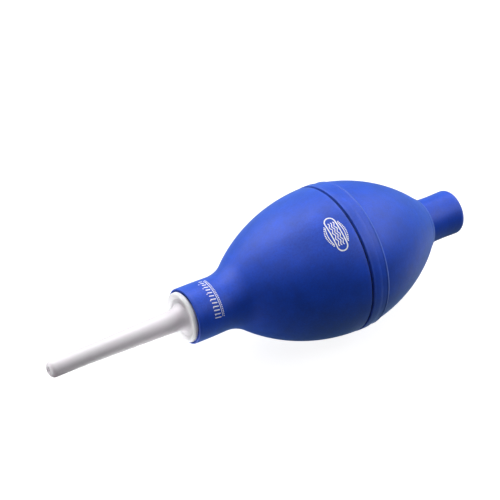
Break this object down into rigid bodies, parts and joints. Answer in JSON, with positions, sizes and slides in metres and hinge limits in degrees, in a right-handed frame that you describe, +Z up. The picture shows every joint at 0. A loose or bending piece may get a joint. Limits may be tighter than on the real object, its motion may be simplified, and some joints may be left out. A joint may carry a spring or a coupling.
{
  "type": "dust blower bulb",
  "caption": "Hand-squeezed rubber air bulb lying on its side, with a long push-in nozzle, an outlet check valve in the neck and a sprung inlet check valve behind a dust filter in the tail.",
  "frame": {"origin": "on the surface the bulb lies on, below the middle of its overall length and on its axis seen from above", "axes": "+X along the bulb's axis from the tail to the nozzle's tip, +Z up away from the surface it lies on, +Y to the left looking along +X"},
  "size_m": [0.1676, 0.054, 0.0538],
  "materials": {
    "blue_rubber": "satin, very finely mottled",
    "seam_glue": "dull, dark line at the bottom of the seam",
    "white_plastic": "satin, moulded",
    "white_valve": "matt, moulded",
    "silicone": "milky, soft",
    "black_rubber": "satin",
    "brass": "turned",
    "steel": "bright",
    "foam": "open-cell foam"
  },
  "bodies": {
    "bulb": {"front_bulb": "blue_rubber", "rear_bulb": "blue_rubber", "seam_bond": "seam_glue", "nozzle_collar": "white_plastic", "outlet_valve_seat": "white_valve", "outlet_valve_cage": "white_valve"},
    "outlet_disc": {"outlet_valve_disc": "silicone"},
    "nozzle_ring": {"nozzle_seal": "black_rubber"},
    "nozzle": {"nozzle": "white_plastic"},
    "tail": {"tail_plug": "blue_rubber", "inlet_valve_body": "brass", "inlet_valve_seat": "black_rubber", "inlet_valve_seal": "black_rubber", "inlet_valve_spring": "steel", "inlet_valve_retainer": "brass", "dust_filter": "foam"},
    "inlet_ball": {"inlet_valve_ball": "steel"},
    "cap": {"filter_cap": "white_valve", "filter_screen": "steel"}
  },
  "joints": [
    {"name": "bulb_squeeze", "type": "slide", "parent": "bulb", "child": "tail", "axis": [1, 0, 0], "range_m": [0, 0.016], "stiffness_N_per_m": 900, "deforming": ["rear_bulb"]},
    {"name": "outlet_disc_lift", "type": "slide", "parent": "bulb", "child": "outlet_disc", "axis": [1, 0, 0], "range_m": [0, 0.00115]},
    {"name": "inlet_ball_lift", "type": "slide", "parent": "tail", "child": "inlet_ball", "axis": [1, 0, 0], "range_m": [0, 0.0012], "stiffness_N_per_m": 60, "springref_m": -0.0008, "deforming": ["inlet_valve_spring"]},
    {"name": "nozzle_pull", "type": "slide", "parent": "bulb", "child": "nozzle_ring", "axis": [1, 0, 0], "range_m": [0, 0.014]},
    {"name": "nozzle_turn", "type": "hinge", "parent": "nozzle_ring", "child": "nozzle", "pos_m": [0.0312, 0, 0.02675], "axis": [1, 0, 0], "continuous": true},
    {"name": "filter_cap_pull", "type": "slide", "parent": "tail", "child": "cap", "axis": [-1, 0, 0], "range_m": [0, 0.006]}
  ]
}
